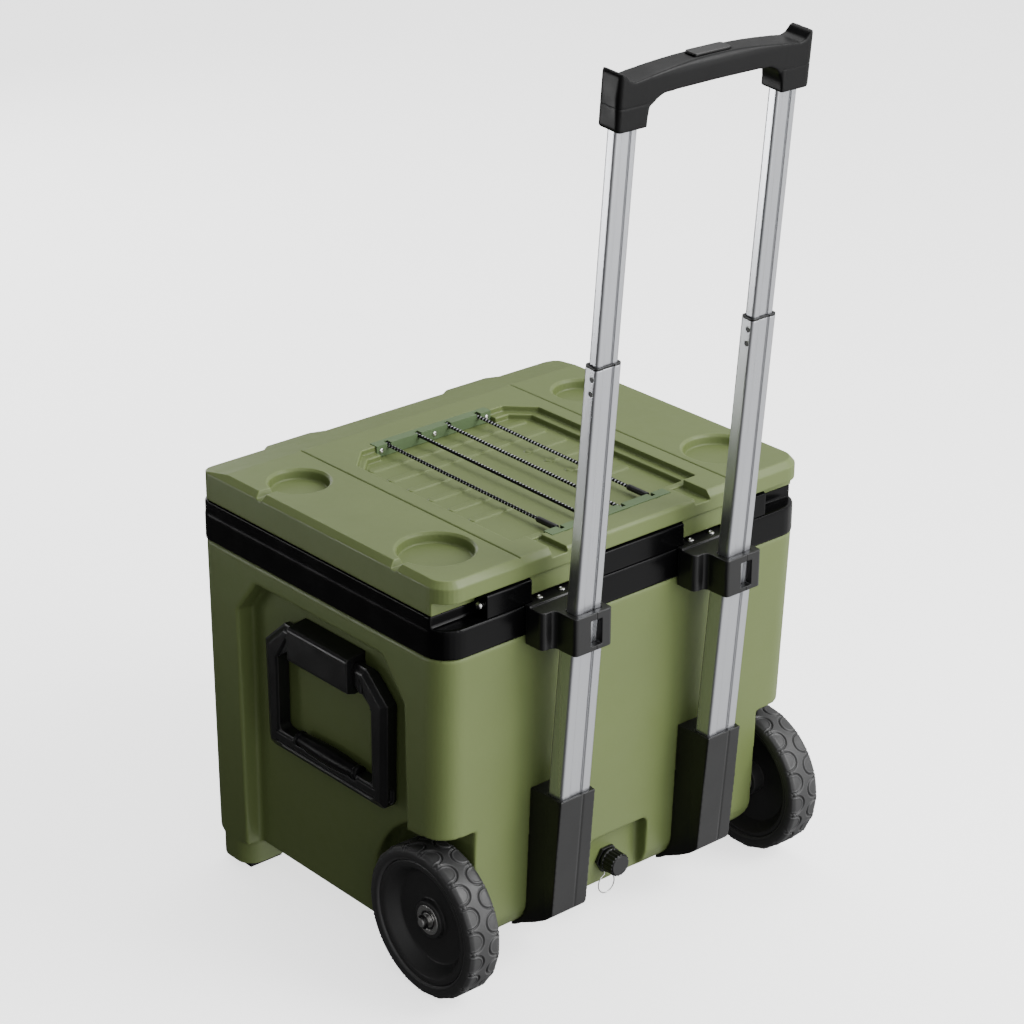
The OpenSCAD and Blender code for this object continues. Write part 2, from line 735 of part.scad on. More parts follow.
// --- bracket that ties each lower tube to the rim ---
module tube_bracket(side) {
  difference() {
    translate([side * tube_x, 0, 0]) slab(bracket_z[0], bracket_z[1]) polygon(concat(
      [[-48.5, -rear_y - 1.4]], arc(-41.5, -247, 7, 180, 270, 4), arc(-36.5, -261, 7, 75, 0, 5),
      arc(-24.5, -286, 5, 180, 270, 4), arc(24.5, -286, 5, 270, 360, 4), [[29.5, -rear_y - 1.4]]));
    on_axis(side) {
      translate([0, 0, s_at(430)]) linear_extrude(s_at(bracket_z[1] - 5) - s_at(430))
        rrect(-stage1[0] / 2 - gap, -stage1[1] / 2 - gap, stage1[0] / 2 + gap, stage1[1] / 2 + gap, 4.3);
      translate([0, 0, s_at(490)]) linear_extrude(40)
        rrect(-stage2[0] / 2 - 0.6, -stage2[1] / 2 - 0.6, stage2[0] / 2 + 0.6, stage2[1] / 2 + 0.6, 4.3);
    }
    // window in the front wall
    translate([side * tube_x, 0, 0]) block([-5, -300, bracket_z[0] + 6], [13, -270, bracket_z[1] - 9]);
  }
  // tongue that lies on the rim's ledge and takes the screws
  difference() {
    translate([side * tube_x, 0, 0]) union() {
      block([-48.5, -rear_y - 1.4, ledge_z + gap], [39.5, -hinge_clear, ledge_z + 2.2]);
      block([-35.8, -rear_y - 1.4, ledge_z + gap], [35.8, -203, ledge_z + 2.2]);
    }
    bracket_screw_holes(1.9);
  }
  translate([side * tube_x, 0, 0])
    block([-48.5, -rear_y - 9, ledge_z - 2], [29.5, -rear_y - 1.4, ledge_z + 2.2]);
}
hinge_clear = 221.8;
module bracket_screw_holes(r) {
  for (side = [-1, 1], dx = tongue_screws)
    translate([side * tube_x + dx, tongue_screw_y, ledge_z - 3.5]) cylinder(h = 8, r = r);
}
module tube_bracket_left() color(black) place() tube_bracket(-1);
module tube_bracket_right() color(black) place() tube_bracket(1);
module tube_bracket_screws() color("silver") place() for (side = [-1, 1], dx = tongue_screws)
  translate([side * tube_x + dx, tongue_screw_y, ledge_z + 2.2])
    rotate_extrude() polygon([[0, 0], [4.6, 0], [4, 1.5], [0, 2.2]]);

// --- boot that holds each lower tube's foot ---
module boot(side) {
  front_top = -267.6;
  front_low = front_top + (boot_z[1] - 88) * tan(lean);
  difference() {
    translate([side * tube_x, 0, 0]) intersection() {
      along_x(-36, 36) difference() {
        polygon([[-180, boot_z[1]], [front_top, boot_z[1]], [front_low, 89], [front_low + 3, 84],
          [front_low + 14, 75], [front_low + 32, 64.5], [-199, 54], [-188, 46.5], [-180, 43]]);
        polygon(belly_profile(0.4));
      }
      slab(0, 300) polygon([[-31, -150], [-31, -205], [-28.5, -240], [-28.5, -262], [-26, -280], [26, -280],
        [28.5, -262], [28.5, -240], [31, -205], [31, -150]]);
    }
    on_axis(side) {
      translate([0, 0, s_at(97.6)]) linear_extrude(300)
        rrect(-stage1[0] / 2 - gap, -stage1[1] / 2 - gap, stage1[0] / 2 + gap, stage1[1] / 2 + gap, 4.3);
      // groove that carries on from the tube's
      translate([stage1[0] * 0.18, -stage1[1] / 2 - 4.6, s_at(20)]) rotate([0, 0, 45])
        cylinder(h = 300, r = 2.2, $fn = 4);
    }
  }
}
module boot_left() color(black) place() boot(-1);
module boot_right() color(black) place() boot(1);

// --- grip ---
bar_top = 72;
// Side view of the grip in its own frame: z up from the sockets' underside
module grip_side() {
  difference() {
    polygon(concat(
      [[-149, 4], [-146, 0], [-103.5, 0]], arc(-75.5, 7.5, 28, 180, 90, 8),
      [[0, 36.5]], arc(75.5, 7.5, 28, 90, 0, 8),
      [[103.5, 0], [146, 0], [149, 4], [150, 40], [149, 65], [146, 68], [141, 66], [135, 58.5]],
      [for (i = [0:12]) let (x = 127 - 254 * i / 12) [x, 56 + 10 * cos(x * 0.7)]],
      [[-135, 58.5], [-141, 66], [-146, 68], [-149, 65], [-150, 40]]));
  }
}
module on_grip() translate([0, axis_y, axis_z]) rotate([lean, 0, 0])
  translate([0, 0, s_at(grip_z)]) children();
module grip() color("#232326") place() on_grip() difference() {
  intersection() {
    along_y(-19, 19) grip_side();
    union() {
      for (side = [-1, 1]) translate([side * tube_x, 0, -1])
        slab(0, 80) rrect(-25.5, -18.385, 25.5, 16.5, 8);
      along_x(-128, 128) rrect(-18.2, 18, 16.4, 68, 13);
    }
  }
  for (side = [-1, 1]) translate([side * tube_x, 0, -1])
    slab(0, 27.5) rrect(-stage3[0] / 2, -stage3[1] / 2, stage3[0] / 2, stage3[1] / 2, 3.5);
  // button well
  slab(51, 90) translate([-3, 0]) rrect(-28.5, -9.5, 28.5, 9.5, 4);
}

module grip_button() color("#18181a") place() on_grip() {
  slab(58, 68) translate([-3, 0]) rrect(-28.1, -9.1, 28.1, 9.1, 3.7);
}

spring_turns = 4;
module button_spring() color("silver") place() on_grip()
  sweep([for (i = [0:spring_turns * 10]) let (a = 36 * i)
    [4.5 * cos(a) - 3, 4.5 * sin(a), 51.8 + 5.4 * i / (spring_turns * 10)]], 0.6, 6);

// ---------- wheels ----------
// Turned about the axle; the outer face is at x = 300 on each side
module on_wheel(side) translate([side * 300, wheel_y, wheel_r]) rotate([0, -side * 90, 0]) children();

module wheel_rim() rotate_extrude($fn = 96) polygon([
  [17.5, 14], [24, 14], [24, 20], [60, 20], [70, 6], [74, 3], [81.5, 3], [81.5, 45], [76, 45],
  [64, 29], [24, 27], [24, 45], [17.5, 45]]);
module rim_left() color("#1d1d1f") place() on_wheel(-1) wheel_rim();
module rim_right() color("#1d1d1f") place() on_wheel(1) wheel_rim();

module wheel_tyre() rotate_extrude($fn = 96) polygon([
  [81.8, 3], [84, 0.6], [88, 0], [95, 0.6], [98, 3], [wheel_r, 8], [wheel_r, wheel_w - 8],
  [98, wheel_w - 3], [95, wheel_w - 0.6], [88, wheel_w], [84, wheel_w - 0.6], [81.8, wheel_w - 3]]);
module tyre_left() color("#2b2b2d") place() on_wheel(-1) wheel_tyre();
module tyre_right() color("#2b2b2d") place() on_wheel(1) wheel_tyre();

module wheel_bearings() for (z = [12.5, 37]) translate([0, 0, z]) difference() {
  union() {
    cylinder(h = 8, r = 17.5);
    if (z < 20) cylinder(h = 1.4, r = 19.5);
  }
  translate([0, 0, -1]) cylinder(h = 12, r = axle_r + 0.05);
  translate([0, 0, -1]) rotate_extrude() polygon([[10, 0], [14.5, 0], [14.5, 1.8], [10, 1.8]]);
}
module bearings_left() color("silver") place() on_wheel(-1) wheel_bearings();
module bearings_right() color("silver") place() on_wheel(1) wheel_bearings();

module axle_stubs() color("silver") place() for (side = [-1, 1]) on_wheel(side) difference() {
  union() {
    translate([0, 0, 3]) cylinder(h = 92, r = axle_r);
    translate([0, 0, 50.5]) cylinder(h = 8, r = 14);
    translate([0, 0, 2]) cylinder(h = 1, r1 = axle_r - 1, r2 = axle_r);
  }
  translate([0, 0, 6]) rotate_extrude() polygon([[5, 0], [7, 0], [7, 1.4], [5, 1.4]]);
}

module axle_clips() color("#2a2a2c") place() for (side = [-1, 1]) on_wheel(side)
  translate([0, 0, 6.1]) difference() {
    cylinder(h = 1.2, r = 9.5);
    translate([0, 0, -1]) cylinder(h = 4, r = 5.02);
    translate([-2.5, 0, -1]) cube([5, 12, 4]);
  }

// ---------- side handles ----------
// Moulded block that the bail hangs from, drawn for the left side
module handle_block() {
  y0 = body_mid_y - block_hw;
  y1 = body_mid_y + block_hw;
  difference() {
    intersection() {
      along_y(y0, y1) polygon(concat([[-recess_x - 0.2, 361], [-recess_x - 0.2, 413], [-296, 409]],
        arc(-298, 404, 5, 90, 180, 4), [[-303, 374]], arc(-299, 366, 4, 180, 250, 3), [[-290, 359]]));
      along_x(-310, -260) rrect(y0, 340, y1, 420, 6);
    }
    rod_y(y0 - 1, y0 + 26, -bail_axis[0], bail_axis[1], 4);
    rod_y(y1 - 26, y1 + 1, -bail_axis[0], bail_axis[1], 4);
    for (dy = [-30, 30]) rod_x(-300, -270, body_mid_y + dy, 386, 2.5);
  }
}
module bail_screw_holes(r = 2.5) {
  for (dy = [-30, 30]) rod_x(-recess_x - 1, -250, body_mid_y + dy, 386, r);
}
module handle_block_left() color(black) place() handle_block();
module handle_block_right() color(black) place() mirror([1, 0, 0]) handle_block();
module block_screws() color("silver") place()
  both() for (dy = [-30, 30]) rod_x(-295, -256, body_mid_y + dy, 386, 2.5);
module bail_pins() color("silver") place()
  both() for (side = [-1, 1]) translate([-bail_axis[0], body_mid_y + side * (block_hw - 6), bail_axis[1]])
    rotate([90, 0, 0]) cylinder(h = 36, r = 4, center = true);

// Outline of the bail in [y, z], as seen from outside the left wall
module bail_outline(g = 0) {
  m = body_mid_y;
  polygon(concat(
    [[m - block_hw - 0.6, bail_axis[1] + 12.5 - g], [m - block_hw - 22, bail_axis[1] + 12.5 - g]],
    [[m - bail_hw + g, 366], [m - bail_hw + 3 + g, bail_low_z + 14]],
    arc(m - bail_hw + 16 + g, bail_low_z + 13 + g, 13, 180, 270, 5),
    arc(m + bail_hw - 16 - g, bail_low_z + 13 + g, 13, 270, 360, 5),
    [[m + bail_hw - 3 - g, bail_low_z + 14], [m + bail_hw - g, 366]],
    [[m + block_hw + 22, bail_axis[1] + 12.5 - g], [m + block_hw + 0.6, bail_axis[1] + 12.5 - g]]));
}

module bail_window() {
  m = body_mid_y;
  polygon(concat(
    [[m - block_hw - 0.6, 420], [m - block_hw - 0.6, 376], [m - bail_hw + 29, 352]],
    arc(m - bail_hw + 37, bail_low_z + 36, 8, 180, 270, 4),
    arc(m + bail_hw - 37, bail_low_z + 36, 8, 270, 360, 4),
    [[m + bail_hw - 29, 352], [m + block_hw + 0.6, 376], [m + block_hw + 0.6, 420]]));
}

module bail() {
  difference() {
    intersection() {
      along_x(-294, -275) difference() {
        bail_outline();
        bail_window();
      }
      union() {
        block([-300, -200, 150], [-273, 250, bail_axis[1]]);
        rod_y(-200, 250, -bail_axis[0], bail_axis[1], 14.5);
      }
    }
    for (side = [-1, 1]) translate([-bail_axis[0], body_mid_y + side * (block_hw + 8), bail_axis[1]])
      rotate([90, 0, 0]) cylinder(h = 20, r = 4.05, center = true);
    // groove along the lower bar
    along_x(-295, -291)
      rrect(body_mid_y - bail_hw + 30, bail_low_z + 5, body_mid_y + bail_hw - 30, bail_low_z + 9, 2);
    // seat of the grip
    bail_grip_solid(0);
  }
}
module bail_grip_solid(g) {
  m = body_mid_y;
  translate([-285.4, m, bail_low_z + 27]) rotate([90, 0, 0]) rotate_extrude($fn = 40) polygon(concat(
    [[0, -62 + g], [10.5 - g, -62 + g], [10.5 - g, -52]],
    [for (i = [0:8]) let (t = i / 8) [10 + 2.4 * sin(180 * t) - g, -48 + 96 * t]],
    [[10.5 - g, 52], [10.5 - g, 62 - g], [0, 62 - g]]));
}
module bail_left() color(black) place() bail();
module bail_right() color(black) place() mirror([1, 0, 0]) bail();
module bail_grip_left() color("#252527") place() bail_grip_solid(0.05);
module bail_grip_right() color("#252527") place() mirror([1, 0, 0]) bail_grip_solid(0.05);

// ---------- drain ----------
module on_drain() translate([drain[0], drain_wall_y, drain[1]]) rotate([90, 0, 0]) children();
module drain_fitting() color(black) place() on_drain() difference() {
  union() {
    translate([0, 0, -12]) cylinder(h = 14, r = 10.9);
    translate([0, 0, 0.2]) cylinder(h = 5, r = 19, $fn = 6);
    cylinder(h = 16, r = 10);
  }
  translate([0, 0, -13]) cylinder(h = 40, r = 7);
}
module drain_nut() color(black) place() on_drain() translate([0, 0, -12]) difference() {
  cylinder(h = 6, r = 17, $fn = 6);
  translate([0, 0, -1]) cylinder(h = 9, r = 11.1);
}
module drain_cap() color(black) place() on_drain() difference() {
  union() {
    translate([0, 0, 8]) cylinder(h = 3, r = 16.5);
    translate([0, 0, 10.5]) cylinder(h = 18.5, r = 13.6);
    // finger ribs
    translate([0, 0, 10]) linear_extrude(17.5)
      polygon([for (i = [0:71]) let (r = i % 4 < 2 ? 15.6 : 14.2) [r * cos(5 * i), r * sin(5 * i)]]);
  }
  translate([0, 0, 7]) cylinder(h = 12, r = 10.06);
}

// Wire looped round the fitting's neck, with its tail hanging below
neck_r = 11;
lanyard_y = drain_wall_y - 6.5;
lanyard_path = concat(
  [for (i = [0:20]) let (a = -60 + 300 * i / 20)
    [drain[0] + neck_r * cos(a), lanyard_y, drain[1] + neck_r * sin(a)]],
  [for (i = [0:16]) let (a = 100 + 320 * i / 16)
    [drain[0] - 4 + 9 * cos(a), lanyard_y - 0.15 * i, drain[1] - 34 + 13 * sin(a)]]);
module drain_lanyard() color("silver") place() sweep(lanyard_path, 0.7, 6, [0, 1, 0]);

outer_shell();
foam_core();
inner_liner();
rim_collar();
foot_pads();
lid_shell();
lid_foam();
lid_liner();
lid_gasket();
hinge_blocks();
hinge_pins();
latch_left();
latch_right();
latch_pins();
latch_keepers();
bungee_bracket_front();
bungee_bracket_rear();
bungee_bracket_screws();
bungee_cord();
cord_end_clips();
boot_left();
boot_right();
tube_bracket_left();
tube_bracket_right();
tube_bracket_screws();
lower_tube_left();
lower_tube_right();
middle_tube_left();
middle_tube_right();
middle_tube_bushes();
bush_rivets();
upper_tube_left();
upper_tube_right();
release_rods();
lock_pins();
grip();
grip_button();
button_spring();
axle_stubs();
rim_left();
rim_right();
tyre_left();
tyre_right();
bearings_left();
bearings_right();
axle_clips();
handle_block_left();
handle_block_right();
block_screws();
bail_pins();
bail_left();
bail_right();
bail_grip_left();
bail_grip_right();
drain_fitting();
drain_nut();
drain_cap();
drain_lanyard();
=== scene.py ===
"""Looks of the wheeled cooler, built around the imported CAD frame. Lengths here are millimetres."""
import math

import bmesh
import bpy
import numpy as np
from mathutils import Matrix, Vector
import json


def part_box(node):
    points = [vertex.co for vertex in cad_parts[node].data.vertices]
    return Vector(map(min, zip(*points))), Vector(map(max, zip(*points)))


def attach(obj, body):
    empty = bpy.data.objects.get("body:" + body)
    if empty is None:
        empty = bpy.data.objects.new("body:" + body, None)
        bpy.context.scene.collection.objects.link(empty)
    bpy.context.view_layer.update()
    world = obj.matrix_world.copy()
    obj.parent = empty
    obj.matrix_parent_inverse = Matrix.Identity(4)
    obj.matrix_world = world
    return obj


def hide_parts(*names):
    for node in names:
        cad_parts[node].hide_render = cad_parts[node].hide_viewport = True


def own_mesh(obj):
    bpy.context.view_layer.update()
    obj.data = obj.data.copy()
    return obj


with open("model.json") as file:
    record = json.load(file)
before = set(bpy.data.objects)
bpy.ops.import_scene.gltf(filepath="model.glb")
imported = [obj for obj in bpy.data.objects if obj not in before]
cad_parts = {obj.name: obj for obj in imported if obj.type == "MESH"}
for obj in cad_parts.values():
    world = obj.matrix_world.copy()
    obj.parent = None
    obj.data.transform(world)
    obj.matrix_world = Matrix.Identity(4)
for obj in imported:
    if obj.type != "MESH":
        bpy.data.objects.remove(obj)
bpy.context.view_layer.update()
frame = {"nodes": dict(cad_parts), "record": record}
record = frame["record"]
MM = 0.001
BODY = {n: b for b, members in record["behaviour"]["bodies"].items() for n in members}
SLOT = {s["node"]: s["material_slot"] for s in record["subparts"]}

# Driving places, read from the frame
wheel_low, wheel_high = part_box("tyre_left")
WHEEL_Y = (wheel_low.y + wheel_high.y) / 2 / MM
WHEEL_R = wheel_high.z / 2 / MM
WHEEL_W = (wheel_high.x - wheel_low.x) / MM

# Driving sizes of the tub, its lid and the pull handle, about the tub's own middle line
AXLE_Y = -175
SHIFT = WHEEL_Y - AXLE_Y  # from the tub's middle line to the frame's origin
HALF_WIDTH = 300
LID_TOP = 569.6
TUBE_X = 124.5
LEAN = math.radians(4.8)
SIDES = (("a", "left", -1), ("b", "right", 1))  # piece tail, node ending and sign of X


def at(x, y, z):
    """A point in metres from millimetres about the tub's own middle line."""
    return Vector((x * MM, (y + SHIFT) * MM, z * MM))


def hub(side):
    """Where a wheel's axis meets its outer face."""
    return at(side * HALF_WIDTH, AXLE_Y, WHEEL_R)


# ---------------------------------------------------------------- materials


class Nodes:
    """A small helper around one material's node tree."""

    def __init__(self, name):
        self.mat = bpy.data.materials.new(name)
        self.mat.use_nodes = True
        self.tree = self.mat.node_tree
        self.bsdf = self.tree.nodes["Principled BSDF"]

    def add(self, kind, **values):
        node = self.tree.nodes.new(kind)
        for key, value in values.items():
            if key in node.inputs:
                node.inputs[key].default_value = value
            else:
                setattr(node, key, value)
        return node

    def link(self, a, b):
        self.tree.links.new(a, b)

    def coords(self, stretch=(1, 1, 1)):
        coord = self.add("ShaderNodeTexCoord")
        mapping = self.add("ShaderNodeMapping")
        mapping.inputs["Scale"].default_value = stretch
        self.link(coord.outputs["Object"], mapping.inputs["Vector"])
        return mapping.outputs["Vector"]

    def noise(self, scale, detail=4.0, stretch=(1, 1, 1)):
        node = self.add("ShaderNodeTexNoise", Scale=scale, Detail=detail)
        self.link(self.coords(stretch), node.inputs["Vector"])
        return node.outputs["Fac"]

    def ranged(self, value, low, high, source=(0.3, 0.7)):
        node = self.add("ShaderNodeMapRange")
        node.inputs["From Min"].default_value, node.inputs["From Max"].default_value = source
        node.inputs["To Min"].default_value, node.inputs["To Max"].default_value = low, high
        self.link(value, node.inputs["Value"])
        return node.outputs["Result"]

    def mixed(self, factor, a, b):
        node = self.add("ShaderNodeMix", data_type="RGBA")
        for socket, value in ((node.inputs[6], a), (node.inputs[7], b)):
            if isinstance(value, tuple):
                socket.default_value = (*value, 1)
            else:
                self.link(value, socket)
        self.link(factor, node.inputs[0])
        return node.outputs[2]


def shade(color, k):
    return tuple(min(1.0, c * k) for c in color)


def finish_material(name, color, rough, metal=0.0, vary=0.08, grain=(), rough_vary=0.07, edge=0.0,
                    specular=0.5, round_edges=0.0, stretch=(1, 1, 1), painted_shade=0.0):
    """Procedural finish: cloudy colour, painted highlights along sharp edges, painted shade in the corners,
    uneven gloss and bumps.

    grain holds a noise scale and a depth in mm for each layer of bumps; round_edges is a radius in mm.
    """
    n = Nodes(name)
    cloud = n.noise(7, 5, stretch)
    speck = n.noise(420, 3, stretch)
    tone = n.mixed(n.ranged(cloud, 0, 1), shade(color, 1 - vary), shade(color, 1 + vary))
    tone = n.mixed(n.ranged(speck, 0, 0.35), tone, shade(color, 1 - 2 * vary))
    # painted highlight: the colour turns lighter along sharp convex edges
    if edge:
        geometry = n.add("ShaderNodeNewGeometry")
        edge_highlight_mask = n.ranged(geometry.outputs["Pointiness"], 0, edge, (0.505, 0.56))
        tone = n.mixed(edge_highlight_mask, tone, shade(color, 1.9))
    # painted shade: the colour darkens in hollows and inside corners
    if painted_shade:
        geometry = n.add("ShaderNodeNewGeometry")
        painted_shade_mask = n.ranged(geometry.outputs["Pointiness"], painted_shade, 0, (0.44, 0.495))
        tone = n.mixed(painted_shade_mask, tone, shade(color, 0.45))
    n.link(tone, n.bsdf.inputs["Base Color"])
    n.link(n.ranged(n.noise(26, 6, stretch), rough - rough_vary, rough + rough_vary),
           n.bsdf.inputs["Roughness"])
    n.bsdf.inputs["Metallic"].default_value = metal
    n.bsdf.inputs["Specular IOR Level"].default_value = specular
    normal = None
    if round_edges:
        bevel = n.add("ShaderNodeBevel", samples=4)
        bevel.inputs["Radius"].default_value = round_edges * MM
        normal = bevel.outputs["Normal"]
    for scale, depth in grain:
        bump = n.add("ShaderNodeBump")
        bump.inputs["Strength"].default_value = 0.6
        bump.inputs["Distance"].default_value = depth * MM
        n.link(n.noise(scale, 4, stretch), bump.inputs["Height"])
        if normal:
            n.link(normal, bump.inputs["Normal"])
        normal = bump.outputs["Normal"]
    if normal:
        n.link(normal, n.bsdf.inputs["Normal"])
    return n.mat


GREEN = (0.118, 0.152, 0.052)
# the edge and corner amounts below set painted highlights along sharp edges and painted shade in the
# corners
MATERIALS = {
    "green_plastic": finish_material("moulded_green", GREEN, 0.44, grain=((900, 0.10), (60, 0.22)),
                                     vary=0.03, edge=0.22, painted_shade=0.3, specular=0.32),
    "gloss_black": finish_material("gloss_black", (0.0016, 0.0016, 0.0018), 0.2, grain=((45, 0.12),),
                                   vary=0.1, rough_vary=0.04, specular=0.13),
    "satin_black": finish_material("satin_black", (0.0068, 0.0068, 0.0071), 0.36,
                                   grain=((1500, 0.05), (90, 0.1)), vary=0.15, edge=0.7, specular=0.4),
    "grip_black": finish_material("grip_black", (0.0026, 0.0026, 0.0028), 0.38,
                                  grain=((1100, 0.1), (300, 0.08)), vary=0.15, edge=0.6, specular=0.17),
    "rubber": finish_material("foot_rubber", (0.006, 0.006, 0.006), 0.7, grain=((700, 0.15),),
                              specular=0.25),
    "tyre": finish_material("tyre_rubber", (0.027, 0.027, 0.0275), 0.46, grain=((650, 0.1), (80, 0.15)),
                            vary=0.2, edge=1.4, painted_shade=0.5, specular=0.42),
    "aluminium": finish_material("anodised_aluminium", (0.51, 0.52, 0.545), 0.3, metal=0.9,
                                 grain=((500, 0.02),), vary=0.05, stretch=(1, 1, 0.012), round_edges=1.3),
    "green_aluminium": finish_material("green_anodised", (0.1, 0.15, 0.072), 0.46, metal=0.1,
                                       grain=((1200, 0.03),), round_edges=0.6, specular=0.22),
    "steel": finish_material("stainless_steel", (0.6, 0.595, 0.585), 0.28, metal=1.0, grain=((900, 0.02),),
                             vary=0.08, round_edges=0.3),
    "liner_plastic": finish_material("liner_grey", (0.42, 0.43, 0.41), 0.4, grain=((500, 0.06),),
                                     vary=0.02),
    "foam": finish_material("foam_fill", (0.5, 0.42, 0.22), 0.9, grain=((300, 0.8),), vary=0.1),
}


def braid(mat_name):
    """Cord sheath: black yarns with pale flecks where two slanted sets of waves cross."""
    slant = 0.62
    n = Nodes(mat_name)
    coord = n.coords()
    waves = []
    for tilt in (slant, -slant):
        turn = n.add("ShaderNodeMapping")
        turn.inputs["Rotation"].default_value = (0, tilt, tilt)
        n.link(coord, turn.inputs["Vector"])
        wave = n.add("ShaderNodeTexWave", Scale=68.0, Distortion=0.0, bands_direction="Y")
        n.link(turn.outputs["Vector"], wave.inputs["Vector"])
        waves.append(wave.outputs["Fac"])
    both = n.add("ShaderNodeMath", operation="MULTIPLY")
    n.link(waves[0], both.inputs[0])
    n.link(waves[1], both.inputs[1])
    tone = n.mixed(n.ranged(both.outputs[0], 0, 1, (0.42, 0.66)), (0.004, 0.004, 0.005), (0.55, 0.56, 0.6))
    n.link(tone, n.bsdf.inputs["Base Color"])
    n.bsdf.inputs["Roughness"].default_value = 0.8
    n.bsdf.inputs["Specular IOR Level"].default_value = 0.15
    bump = n.add("ShaderNodeBump")
    bump.inputs["Distance"].default_value = 0.5 * MM
    n.link(both.outputs[0], bump.inputs["Height"])
    n.link(bump.outputs["Normal"], n.bsdf.inputs["Normal"])
    return n.mat


MATERIALS["cord"] = braid("braided_cord_sheath")
# two finishes that share a slot with a lighter or darker neighbour; the rims' black is a lighter copy of
# the satin black, painted light that lifts the rims out of the shade
RIM_BLACK_PAINTED_LIGHT = finish_material("rim_black_lightened", (0.026, 0.026, 0.0265), 0.4, grain=((1300, 0.06), (90, 0.1)),
                              vary=0.15, edge=0.7, specular=0.4)
DARK_STEEL = finish_material("blackened_steel", (0.03, 0.03, 0.031), 0.35, metal=0.9, grain=((900, 0.03),))

# ---------------------------------------------------------------- mesh tools


def add_object(name, mesh):
    obj = bpy.data.objects.new(name, mesh)
    bpy.context.scene.collection.objects.link(obj)
    return obj


def from_lists(name, verts, faces):
    mesh = bpy.data.meshes.new(name)
    mesh.from_pydata([tuple(v) for v in verts], [], faces)
    mesh.validate()
    return add_object(name, mesh)


def apply_modifiers(obj):
    depsgraph = bpy.context.evaluated_depsgraph_get()
    depsgraph.update()
    mesh = bpy.data.meshes.new_from_object(obj.evaluated_get(depsgraph))
    obj.modifiers.clear()
    obj.data = mesh
    return obj


def dress(obj, mat, body):
    """Gives the piece its finish and its body."""
    obj.data.materials.clear()
    obj.data.materials.append(mat)
    obj.data.polygons.foreach_set("use_smooth", [True] * len(obj.data.polygons))
    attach(obj, body)


def settle(obj, node, mat=None):
    """Lets the piece stand for a CAD node, with the node's body and, as a rule, the finish of its slot."""
    slot = SLOT[node]
    dress(obj, mat or MATERIALS[slot], BODY[node])
    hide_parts(node)
    return obj


def welded_copy(name, node):
    """A welded copy of a CAD node's mesh, to be reworked as a new piece."""
    obj = add_object(name, frame["nodes"][node].data.copy())
    work = bmesh.new()
    work.from_mesh(obj.data)
    bmesh.ops.remove_doubles(work, verts=work.verts, dist=1e-5)
    work.to_mesh(obj.data)
    work.free()
    return obj


def moulded(name, node, voxel, rounds, faces, stamp=None, mat=None):
    """A piece with rounded edges: remeshed from the CAD shape, relaxed, stamped and thinned to its faces.

    stamp(co, normals) moves the points, in mm, for what is too fine to survive the relaxing.
    """
    obj = welded_copy(name, node)
    remesh = obj.modifiers.new("remesh", "REMESH")
    remesh.mode, remesh.voxel_size = "VOXEL", voxel * MM
    relax = obj.modifiers.new("relax", "SMOOTH")
    relax.factor, relax.iterations = 0.5, rounds
    apply_modifiers(obj)
    if stamp:
        co = np.empty(len(obj.data.vertices) * 3)
        obj.data.vertices.foreach_get("co", co)
        normals = np.empty_like(co)
        obj.data.vertices.foreach_get("normal", normals)
        co = stamp(co.reshape(-1, 3) / MM, normals.reshape(-1, 3))
        obj.data.vertices.foreach_set("co", (co * MM).ravel())
    if len(obj.data.polygons) * 2 > faces:
        thin = obj.modifiers.new("thin", "DECIMATE")
        thin.ratio = faces / (2 * len(obj.data.polygons))
        apply_modifiers(obj)
    return settle(obj, node, mat)


def lathe(name, profile, origin, axis, segments=96, radius_of=None):
    """Turns (radius, along) points, in mm, about an axis.

    radius_of(i, angle, radius) may reshape the ring of point i.
    """
    turn = Vector((0, 0, 1)).rotation_difference(Vector(axis)).to_matrix()
    verts, faces, count = [], [], len(profile)
    for i, (radius, along) in enumerate(profile):
        for k in range(segments):
            angle = 2 * math.pi * k / segments
            r = radius_of(i, angle, radius) if radius_of else radius
            verts.append(origin + turn @ Vector((r * math.cos(angle), r * math.sin(angle), along)) * MM)
    for i in range(count - 1):
        for k in range(segments):
            q = (k + 1) % segments
            low, high = i * segments, (i + 1) * segments
            faces.append((low + k, low + q, high + q, high + k))
    if profile[0][0] > 0 and profile[0] != profile[-1]:
        faces.append(tuple(range(segments - 1, -1, -1)))
        faces.append(tuple((count - 1) * segments + k for k in range(segments)))
    obj = from_lists(name, verts, faces)
    work = bmesh.new()
    work.from_mesh(obj.data)
    bmesh.ops.remove_doubles(work, verts=work.verts, dist=1e-6)
    bmesh.ops.recalc_face_normals(work, faces=work.faces)
    work.to_mesh(obj.data)
    work.free()
    return obj


def soft_edges(obj, width, segments, angle):
    """Rounds the edges that are sharper than the angle, in degrees."""
    bevel = obj.modifiers.new("bevel", "BEVEL")
    bevel.width, bevel.segments = width * MM, segments
    bevel.limit_method, bevel.angle_limit = "ANGLE", math.radians(angle)
    bevel.harden_normals = False
    return apply_modifiers(obj)


def merged(name, parts):
    """One object from several meshes."""
    work = bmesh.new()
    for part in parts:
        part.data.transform(part.matrix_world)
        work.from_mesh(part.data)
        bpy.data.objects.remove(part)
    mesh = bpy.data.meshes.new(name)
    work.to_mesh(mesh)
    work.free()
    return add_object(name, mesh)


